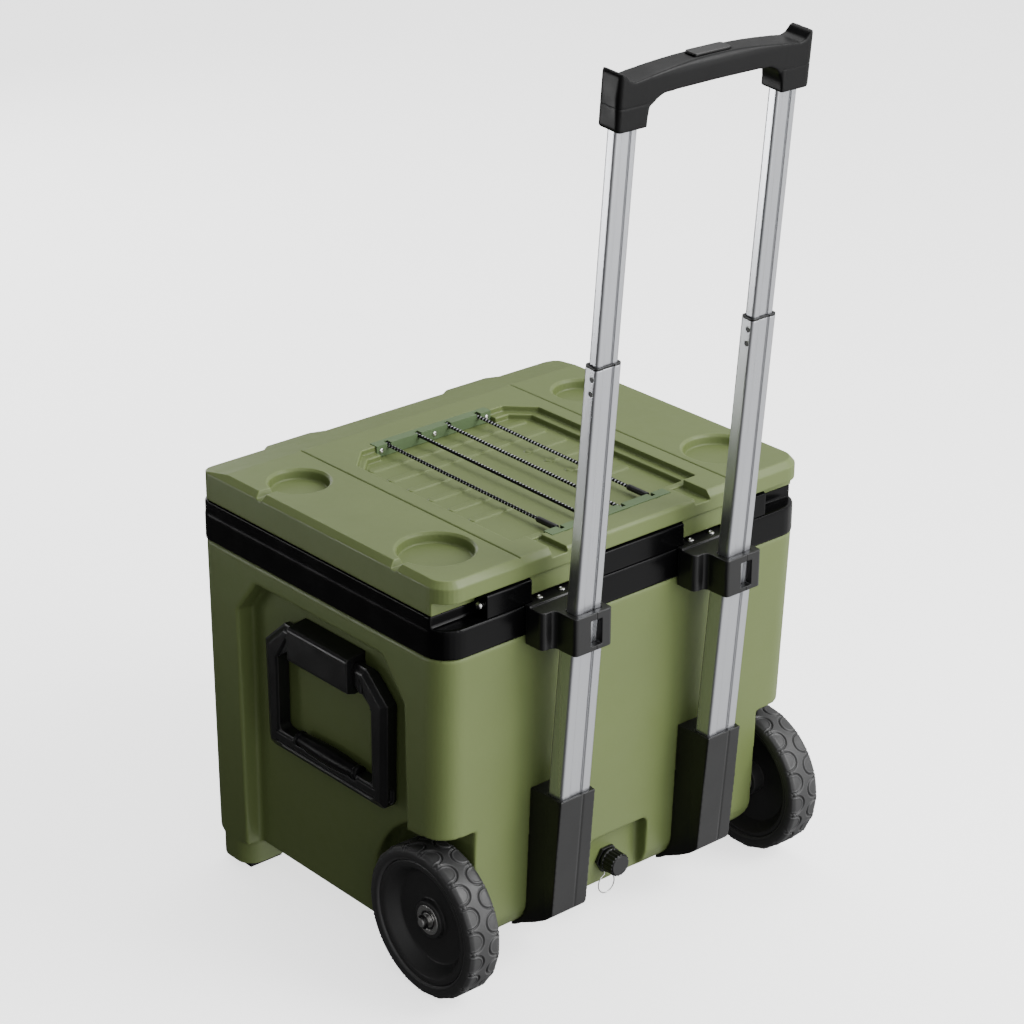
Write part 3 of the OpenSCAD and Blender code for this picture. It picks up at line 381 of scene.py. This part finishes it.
def round_wire(name, points, radius, cyclic=False):
    """A smooth round wire or cord through the given points."""
    curve = bpy.data.curves.new(name, "CURVE")
    curve.dimensions = "3D"
    curve.bevel_depth, curve.bevel_resolution = radius * MM, 4
    curve.use_fill_caps = True
    spline = curve.splines.new("POLY")
    spline.points.add(len(points) - 1)
    for p, co in zip(spline.points, points):
        p.co = (*co, 1)
    spline.use_cyclic_u = cyclic
    obj = add_object(name, curve)
    mesh = bpy.data.meshes.new_from_object(obj.evaluated_get(bpy.context.evaluated_depsgraph_get()))
    bpy.data.objects.remove(obj)
    return add_object(name, mesh)


def smooth_step(t):
    """Eases from 0 to 1 as t goes from 0 to 1."""
    t = np.clip(t, 0, 1)
    return t * t * (3 - 2 * t)


def rounded_box_distance(x, y, cx, cy, hx, hy, r):
    """Signed distance to a rounded rectangle, for stamps."""
    qx, qy = np.abs(x - cx) - hx + r, np.abs(y - cy) - hy + r
    outside = np.hypot(np.maximum(qx, 0), np.maximum(qy, 0))
    return outside + np.minimum(np.maximum(qx, qy), 0) - r


# ---------------------------------------------------------------- tub and rim


def foam_stamp(co, normals):
    """Draws the foam back from both skins, so that it can't show through their rounded corners."""
    return co - normals * 1.2


moulded("tub_shell", "outer_shell", 2.2, 9, 180000)
moulded("rim_band", "rim_collar", 1.6, 4, 120000)
moulded("foam_block", "foam_core", 3.0, 5, 40000, stamp=foam_stamp)
moulded("liner_tub", "inner_liner", 2.4, 6, 60000)
moulded("lid_underside", "lid_liner", 2.0, 3, 40000)
moulded("foot_pad_pair", "foot_pads", 1.2, 3, 12000)
moulded("hinge_block_set", "hinge_blocks", 0.9, 3, 40000)

# ---------------------------------------------------------------- lid

GROOVE_X, GROOVE_HALF, GROOVE_DEPTH, GROOVE_END = 175.5, 2.1, 1.7, 208


def lid_stamp(co, normals):
    """Presses the two long grooves into the lid's top."""
    x, y, z = co[:, 0], co[:, 1] - SHIFT, co[:, 2]
    facing_up = smooth_step((normals[:, 2] - 0.6) / 0.3)
    top = facing_up * (z > LID_TOP - 9)
    across = np.abs(np.abs(x) - GROOVE_X) / GROOVE_HALF
    co[:, 2] -= GROOVE_DEPTH * (1 - smooth_step(across)) * (y < GROOVE_END) * top
    return co


moulded("lid_top", "lid_shell", 1.05, 2, 195000, stamp=lid_stamp)
moulded("gasket", "lid_gasket", 0.8, 1, 20000)

# ---------------------------------------------------------------- black mouldings

BAIL_MID, BAIL_FACE = 17, 294  # middle of the side handle in Y and its outer face in X
BAIL_LOW, BAIL_BEND, BAIL_TOP = 221, 366, 402.5  # heights of its lower edge, its bend and its top
BEND_IN, BEND_OUT = 82, 123  # half widths at the top and at the bend


def bail_stamp(co, normals):
    """Shapes the side handle's outer face.

    It gets a broad chamfer, a pocket at each shoulder, long grooves in the lower bar and an open slot
    at one corner. v is the distance from the handle's middle.
    """
    x, y, z = np.abs(co[:, 0]), co[:, 1] - SHIFT, co[:, 2]
    v = np.abs(y - BAIL_MID)
    rise, run = BAIL_TOP - BAIL_BEND, BEND_OUT - BEND_IN
    down = BAIL_TOP - z
    outer = np.minimum.reduce([down, (down * run - (v - BEND_IN) * rise) / math.hypot(rise, run),
                               BEND_OUT - v - (BAIL_BEND - z) * 3 / 131, z - BAIL_LOW])
    inner = np.maximum(v - 94, (BAIL_LOW + 28) - z)
    inner = np.where(z > 352, 40, np.maximum(inner, 0))
    chamfer = 5.0 * (1 - smooth_step(outer / 10.5)) + 1.6 * (1 - smooth_step(inner / 3.5))
    bar = (v < 100) & (z < BAIL_LOW + 34)
    for level in (12, 25):
        mark = 1 - smooth_step((np.abs(z - BAIL_LOW - level) - 0.6) / 1.1)
        chamfer = np.maximum(chamfer, 2.4 * mark * bar * (v > (66 if level == 25 else -1)))
    # three-sided pocket between the pivot and the bend
    across, up, wide, high = v - 74, z - 353, 21, 33
    edge = np.minimum.reduce([across, up, ((high - up) * wide - across * high) / math.hypot(wide, high)])
    chamfer = np.where(z > 350, np.maximum(chamfer, 3.2 * smooth_step((edge + 0.6) / 1.6)), chamfer)
    limit = BAIL_FACE - chamfer
    co[:, 0] = np.sign(co[:, 0]) * np.where(z < BAIL_TOP + 0.5, np.minimum(x, limit), x)
    # open slot in the handle-side edge of the lower corner
    slot = rounded_box_distance(x, z, 283.5, 238.5, 3.6, 10.5, 3.5)
    side = (y < BAIL_MID - 112) & (normals[:, 1] < -0.6)
    co[:, 1] += 5.0 * (1 - smooth_step((slot + 0.4) / 0.9)) * side
    return co


GRIP_FOOT = (-322.3, 1108)  # Y and Z at the lower end of the grip's sockets
PARTING_UP, PARTING_DEPTH = 28, 0.55


def grip_stamp(co, normals):
    """A parting line round the grip's sockets."""
    x, y, z = co[:, 0], co[:, 1] - SHIFT, co[:, 2]
    along = (z - GRIP_FOOT[1]) * math.cos(LEAN) - (y - GRIP_FOOT[0]) * math.sin(LEAN)
    line = (1 - smooth_step(np.abs(along - PARTING_UP) / 0.9)) * smooth_step((np.abs(x) - 92) / 12)
    return co - normals * (PARTING_DEPTH * line)[:, None]


def clamp_stamp(co, normals):
    """The seam below and above the clamp's window."""
    x, y = co[:, 0], co[:, 1] - SHIFT
    middle = np.where(x < 0, -TUBE_X, TUBE_X) + 4.5
    line = (1 - smooth_step(np.abs(x - middle) / 0.9)) * (y < -280) * (normals[:, 1] < -0.5)
    co[:, 1] += 1.2 * line
    return co


for tail, hand, _ in SIDES:
    moulded(f"boot_{tail}", f"boot_{hand}", 1.0, 3, 50000)
    moulded(f"clamp_{tail}", f"tube_bracket_{hand}", 0.7, 4, 60000, stamp=clamp_stamp)
    moulded(f"hand_block_{tail}", f"handle_block_{hand}", 0.8, 5, 50000)
    moulded(f"hand_loop_{tail}", f"bail_{hand}", 0.8, 3, 120000, stamp=bail_stamp)
    moulded(f"latch_{tail}", f"latch_{hand}", 0.7, 3, 24000)
moulded("pull_grip", "grip", 1.0, 30, 110000, stamp=grip_stamp)
moulded("push_button", "grip_button", 0.6, 5, 12000)
moulded("drain_body", "drain_fitting", 0.5, 2, 20000)
moulded("drain_screw_cap", "drain_cap", 0.5, 2, 30000)
moulded("cord_clips", "cord_end_clips", 0.4, 3, 20000)
moulded("tube_bushes", "middle_tube_bushes", 0.4, 1, 20000)
moulded("clip_rings", "axle_clips", 0.35, 2, 16000, mat=DARK_STEEL)

# ---------------------------------------------------------------- wheels

TREAD_CELLS = 20
LOBE_R, LOBE_STRAIGHT, LOBE_REACH = 13.2, 7.2, 24.5  # half width, straight length and furthest reach
PEG_R, PEG_IN = 3.4, 5
TREAD_LIMIT = 99.9  # just inside the CAD tyre


def tread_height(around, across):
    """Height of the tread in mm: D-shaped lobes open to each shoulder, with a peg between neighbours.

    around counts cells round the tyre and across goes from 0 to 1 over its width.
    """
    height = np.zeros_like(around)
    pitch = 2 * math.pi * WHEEL_R / TREAD_CELLS
    for edge, offset in ((0.0, 0.0), (1.0, 0.5)):
        u = ((around + offset) % 1 - 0.5) * pitch
        v = np.abs(across - edge) * WHEEL_W
        lobe = np.hypot(u, np.maximum(v - LOBE_STRAIGHT, 0)) - LOBE_R
        groove = -2.4 * (1 - smooth_step(np.abs(lobe) / 1.8))
        lip = 0.9 * (1 - smooth_step(np.abs(lobe + 2.6) / 1.1))
        floor = -0.75 * smooth_step((-lobe - 0.4) / 1.4)
        height = np.where(v < LOBE_REACH, np.minimum(height, groove) + floor + lip, height)
        peg = np.hypot(pitch / 2 - np.abs(u), v - PEG_IN)
        crown = 0.5 * (1 - smooth_step((peg - 1.6) / 0.8))
        moat = 1.4 * smooth_step((peg - 1.8) / 0.7) * (1 - smooth_step((peg - 2.6) / 0.8))
        height = np.where(peg < PEG_R, np.maximum(crown - moat, -1.6), height)
    return height


def tyre(name, node, side):
    """A dense turned tyre whose crown and shoulders carry the tread."""
    bead = [(82.0, 3.2), (83.2, 1.4), (85.0, 0.7), (86.2, 0.9), (87.2, 0.5), (92, 0.5), (94.6, 1.1)]
    steps, inset = 62, 1.7
    crown = []
    for i in range(steps // 2 + 1):
        rise = math.sin(math.pi * min(1, (i + 0.8) / 9) / 2)
        crown.append((96.3 + 3.2 * rise, inset + i * (WHEEL_W - 2 * inset) / steps))
    half = bead + crown
    profile = half + [(r, WHEEL_W - a) for r, a in reversed(half[:-1])]
    segments = TREAD_CELLS * 36
    angles = np.arange(segments) / segments * TREAD_CELLS
    rows = [tread_height(angles, np.full(segments, along / WHEEL_W)) for _, along in profile]

    def with_tread(i, angle, radius):
        if radius < 95:  # the bead and the side wall are plain
            return radius
        k = round(angle / (2 * math.pi) * segments)
        return min(TREAD_LIMIT, radius + rows[i % len(profile)][k])

    obj = lathe(name, profile + [profile[0]], hub(side), (-side, 0, 0), segments, with_tread)
    return settle(obj, node)


def wheel_rim(name, node, side):
    """Hub boss, dished web and the lip that holds the tyre."""
    profile = [(17.6, 13.2), (23.4, 13.2), (24.6, 14.6), (25.2, 19.4), (27, 20.6), (57, 21.2), (60.5, 20.2),
               (63.5, 16.5), (70.5, 6.4), (73.6, 3.6), (76, 3.1), (80.2, 3.1), (81.6, 4.2), (81.6, 44.6),
               (76.5, 44.6), (64, 29.4), (24, 27.4), (24, 44.6), (17.6, 44.6), (17.6, 13.2)]
    obj = lathe(name, profile, hub(side), (-side, 0, 0), 128)
    soft_edges(obj, 0.9, 3, 20)
    return settle(obj, node, RIM_BLACK_PAINTED_LIGHT)


for tail, hand, side in SIDES:
    tyre(f"tyre_{tail}", f"tyre_{hand}", side)
    wheel_rim(f"rim_{tail}", f"rim_{hand}", side)


SEAL_IN = 1.1


def bearing_pair(name, node, side):
    """Ground outer and inner rings with a dark seal set back between them."""
    origin, axis = hub(side), (-side, 0, 0)
    rings = []
    for start, flanged in ((12.5, True), (37, False)):
        outer = [(12.4, start + 0.9), (12.7, start + 0.3), (13.4, start + 0.05), (17.3, start + 0.05)]
        if flanged:
            outer += [(18.9, start + 0.05), (19.4, start + 0.5), (19.4, start + 1.3), (17.4, start + 1.35)]
        outer += [(17.4, start + 7.7), (12.4, start + 7.9), (12.4, start + 0.9)]
        inner = [(6.1, start + 0.4), (6.5, start + 0.05), (9.1, start + 0.05), (9.7, start + 0.5),
                 (9.7, start + 7.7), (6.1, start + 7.9), (6.1, start + 0.4)]
        rings += [lathe(f"{name}_{start}_{i}", p, origin, axis, 96) for i, p in enumerate((outer, inner))]
    settle(soft_edges(merged(name, rings), 0.2, 2, 30), node)
    seals = []
    for start in (12.5 + SEAL_IN, 37 + SEAL_IN):
        seal = [(9.7, start), (10.3, start - 0.2), (11.8, start - 0.2), (12.4, start), (12.4, start + 4.5),
                (9.7, start + 4.5), (9.7, start)]
        seals.append(lathe(f"{name}_seal_{start}", seal, origin, axis, 96))
    dress(merged(name + "_seal", seals), MATERIALS["satin_black"], BODY[node])


for tail, hand, side in SIDES:
    bearing_pair(f"bearing_{tail}", f"bearings_{hand}", side)

# ---------------------------------------------------------------- side handle grips


def hand_grip(name, node):
    """Grip on the lower bar: an end collar at each side and a slight bulge between them."""
    low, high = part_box(node)
    centre = Vector(((low.x + high.x) / 2, (low.y + high.y) / 2, (low.z + high.z) / 2))
    half = (high.y - low.y) / 2 / MM - 0.2
    radius = (high.x - low.x) / 2 / MM - 0.2
    collar = [(0.01, half), (radius - 3.2, half), (radius - 2.2, half - 0.8), (radius - 2.2, half - 6.4),
              (radius - 3.0, half - 7.2)]
    reach, steps = half - 8.5, 60
    bulge = []
    for i in range(steps + 1):
        t = i / steps
        bulge.append((radius - 2.9 + 2.8 * math.sin(math.pi * t), reach * (2 * t - 1)))
    profile = [(r, -along) for r, along in collar] + bulge + collar[::-1]
    return settle(lathe(name, profile, centre, (0, 1, 0), 64), node)


for tail, hand, _ in SIDES:
    hand_grip(f"hand_grip_{tail}", f"bail_grip_{hand}")

# ---------------------------------------------------------------- screws


def socket_screw(name, origin, axis, radius, height):
    """A button head with a six-sided socket."""
    dome = [(radius, 0.02), (radius, height * 0.25)]
    dome += [(radius * math.cos(a), height * (0.25 + 0.75 * math.sin(a))) for a in (0.3, 0.6, 0.85, 1.02)]
    socket = radius * 0.46
    profile = dome + [(socket, height), (socket * 0.96, height * 0.93), (socket * 0.94, height * 0.3),
                      (0.01, height * 0.3)]
    sixth = math.pi / 3

    def hexagon(i, angle, r):
        if i < len(dome) or i == len(profile) - 1:
            return r
        return r / math.cos((angle + sixth / 2) % sixth - sixth / 2) * 0.93

    return lathe(name, [(0.01, 0.02), *profile], origin, axis, 48,
                 lambda i, angle, r: r if i == 0 else hexagon(i - 1, angle, r))


LEDGE_TOP = 510.25
TRAY_SCREW_X = (-88, 0, 88)

ledge_screws = []
for _, hand, side in SIDES:
    for offset in (-22.5, 12.5):
        place = at(side * TUBE_X + offset, -218.5, LEDGE_TOP)
        ledge_screws.append(socket_screw(f"ledge_screw_{hand}_{offset}", place, (0, 0, 1), 4.6, 2.1))
settle(merged("ledge_screws", ledge_screws), "tube_bracket_screws")

tray_screws = []
for x in TRAY_SCREW_X:
    tray_screws.append(socket_screw(f"front_screw_{x}", at(x, 153.9, LID_TOP - 7.4), (0, -1, 0), 3.5, 1.6))
    tray_screws.append(socket_screw(f"rear_screw_{x}", at(x, -170.4, LID_TOP - 12), (0, 1, 0), 3.5, 1.6))
settle(merged("tray_screws", tray_screws), "bungee_bracket_screws")

# ---------------------------------------------------------------- cord, spring and wire

CORD_X = (-75, -25, 25, 75)
CORD_Z = (561.2, 566)  # its height at the near and at the far bracket
FAR_Y, NEAR_Y = 162.5, -179
CLIP_END = -134  # where the end clips let the cord out
CORD_R = 2.2


def on_cord(x, y):
    """A point on the cord's sloping plane."""
    return at(x, y, CORD_Z[0] + (CORD_Z[1] - CORD_Z[0]) * (y - NEAR_Y) / (FAR_Y - NEAR_Y))


def cord_run(x, y0, y1, steps=12):
    """A straight run from one bracket to the other."""
    return [on_cord(x, y0 + (y1 - y0) * i / steps) for i in range(steps + 1)]


def cord_turn(x0, x1, y, way, steps=16):
    """Tight half turn under a bracket's tongue: two quick corners and a nearly straight back."""
    turn = []
    for i in range(1, steps):
        a = math.pi * i / steps
        x = (x0 + x1) / 2 - (x1 - x0) / 2 * math.copysign(abs(math.cos(a)) ** 0.55, math.cos(a))
        turn.append(on_cord(x, y + way * 3 * math.sin(a) ** 0.7))
    return turn


route = cord_run(CORD_X[0], CLIP_END + 0.3, FAR_Y) + cord_turn(CORD_X[0], CORD_X[1], FAR_Y, 1)
route += cord_run(CORD_X[1], FAR_Y, NEAR_Y) + cord_turn(CORD_X[1], CORD_X[2], NEAR_Y, -1)
route += cord_run(CORD_X[2], NEAR_Y, FAR_Y) + cord_turn(CORD_X[2], CORD_X[3], FAR_Y, 1)
route += cord_run(CORD_X[3], FAR_Y, CLIP_END + 0.3)
settle(round_wire("cargo_cord", route, CORD_R), "bungee_cord")

SPRING_R, SPRING_WIRE, SPRING_TURNS, TURN_RISE = 4.5, 0.6, 4, 1.5


def return_spring():
    """The coil under the grip's button, drawn at one length; on the real thing it flattens on its seat as
    the button goes down.
    """
    low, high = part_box("button_spring")
    middle = (low + high) / 2
    axis = Vector((0, -math.sin(LEAN), math.cos(LEAN)))
    across = Vector((0, math.cos(LEAN), math.sin(LEAN)))
    steps, rise = 24 * SPRING_TURNS, TURN_RISE * SPRING_TURNS
    coils = []
    for i in range(steps + 1):
        a = 2 * math.pi * i / 24
        ring = (Vector((1, 0, 0)) * math.cos(a) + across * math.sin(a)) * SPRING_R * MM
        coils.append(middle + ring + axis * (i / steps - 0.5) * rise * MM)
    spring = settle(round_wire("return_spring", coils, SPRING_WIRE), "button_spring")
    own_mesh(spring)


DRAIN_X, DRAIN_Z = -3, 85
WIRE_R = 0.8


def wire_loop():
    """Spring wire: most of a turn round the drain's neck, then a long loop hanging below it."""
    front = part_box("drain_lanyard")[1].y - 0.7 * MM
    wire = []
    for i in range(41):
        a = math.radians(-60 + 7.5 * i)
        wire.append(Vector(((DRAIN_X + 11 * math.cos(a)) * MM, front, (DRAIN_Z + 11 * math.sin(a)) * MM)))
    for i in range(49):
        a = math.radians(104 + 6.5 * i)
        wire.append(Vector(((DRAIN_X - 5 + 13 * math.cos(a)) * MM, front - 0.05 * i * MM,
                            (DRAIN_Z - 33 + 13.5 * math.sin(a)) * MM)))
    settle(round_wire("wire_loop", wire, WIRE_R), "drain_lanyard")


return_spring()
wire_loop()

# ---------------------------------------------------------------- finishes of the CAD nodes that show

for name, node in frame["nodes"].items():
    if not node.hide_render:
        node.data.materials.clear()
        node.data.materials.append(MATERIALS[SLOT[name]])

# ---------------------------------------------------------------- stage


def floor_sheet():
    """A pale sheet that is seen and takes shadows, but throws no light back on the product."""
    bpy.ops.mesh.primitive_plane_add(size=40, location=(0, 0, -0.0004))
    floor = bpy.context.object
    floor.name = "floor"
    n = Nodes("pale_floor")
    tone = n.mixed(n.ranged(n.noise(3, 2), 0, 1), (0.93, 0.93, 0.93), (0.96, 0.96, 0.96))
    n.link(tone, n.bsdf.inputs["Base Color"])
    n.bsdf.inputs["Emission Color"].default_value = (1, 1, 1, 1)
    n.bsdf.inputs["Emission Strength"].default_value = 1.7
    n.bsdf.inputs["Roughness"].default_value = 0.7
    floor.data.materials.append(n.mat)
    floor.visible_diffuse = floor.visible_glossy = False


def room():
    """A white room that falls off towards the dark side wall."""
    world = bpy.data.worlds.new("studio")
    bpy.context.scene.world = world
    world.use_nodes = True
    tree = world.node_tree
    back = tree.nodes["Background"]
    back.inputs["Color"].default_value = (1, 1, 1, 1)
    coord = tree.nodes.new("ShaderNodeTexCoord")
    dot = tree.nodes.new("ShaderNodeVectorMath")
    dot.operation = "DOT_PRODUCT"
    dot.inputs[1].default_value = (0.62, -0.66, 0.42)
    tree.links.new(coord.outputs["Generated"], dot.inputs[0])
    fall = tree.nodes.new("ShaderNodeMapRange")
    fall.interpolation_type = "SMOOTHSTEP"
    fall.inputs["From Min"].default_value, fall.inputs["From Max"].default_value = -0.42, 0.75
    fall.inputs["To Min"].default_value, fall.inputs["To Max"].default_value = 0.075, 1.35
    tree.links.new(dot.outputs["Value"], fall.inputs["Value"])
    tree.links.new(fall.outputs["Result"], back.inputs["Strength"])


def lamps():
    """Soft boxes round the product; the side one is aimed at the tubes and the pull grip."""
    lamp("key", (1.7, -2.5, 3.0), 1.8, 130)
    lamp("front", (1.0, -3.3, 1.0), 2.2, 70)
    lamp("back", (0.4, 3.4, 1.6), 2.0, 45)
    lamp("side", (-2.0, 1.5, 0.62), 1.2, 2.3, (-0.1, -0.29, 1.15), 40)
    lamp("top", (1.0, 1.0, 3.6), 2.4, 35)
    lamp("edge", (-1.2, -3.5, 1.3), 0.9, 5)


def lamp(name, place, size, power, aim=(0, 0, 0.4), spread=180):
    """A square area lamp, with places and size in metres, power in watts and spread in degrees."""
    data = bpy.data.lights.new(name, "AREA")
    data.size, data.energy, data.spread = size, power, math.radians(spread)
    obj = bpy.data.objects.new(name, data)
    bpy.context.scene.collection.objects.link(obj)
    obj.location = place
    obj.rotation_euler = (Vector(aim) - Vector(place)).to_track_quat("-Z", "Y").to_euler()


def camera():
    data = bpy.data.cameras.new("camera")
    data.lens, data.sensor_width = 104.02, 36
    data.shift_x, data.shift_y = -0.0206, -0.0268
    data.clip_end = 100
    obj = bpy.data.objects.new("camera", data)
    bpy.context.scene.collection.objects.link(obj)
    obj.location = at(-2247.27, -2582.47, 2034.56)
    obj.rotation_euler = [math.radians(a) for a in (66.4387, -0.3927, -41.2961)]
    bpy.context.scene.camera = obj


floor_sheet()
room()
lamps()
camera()
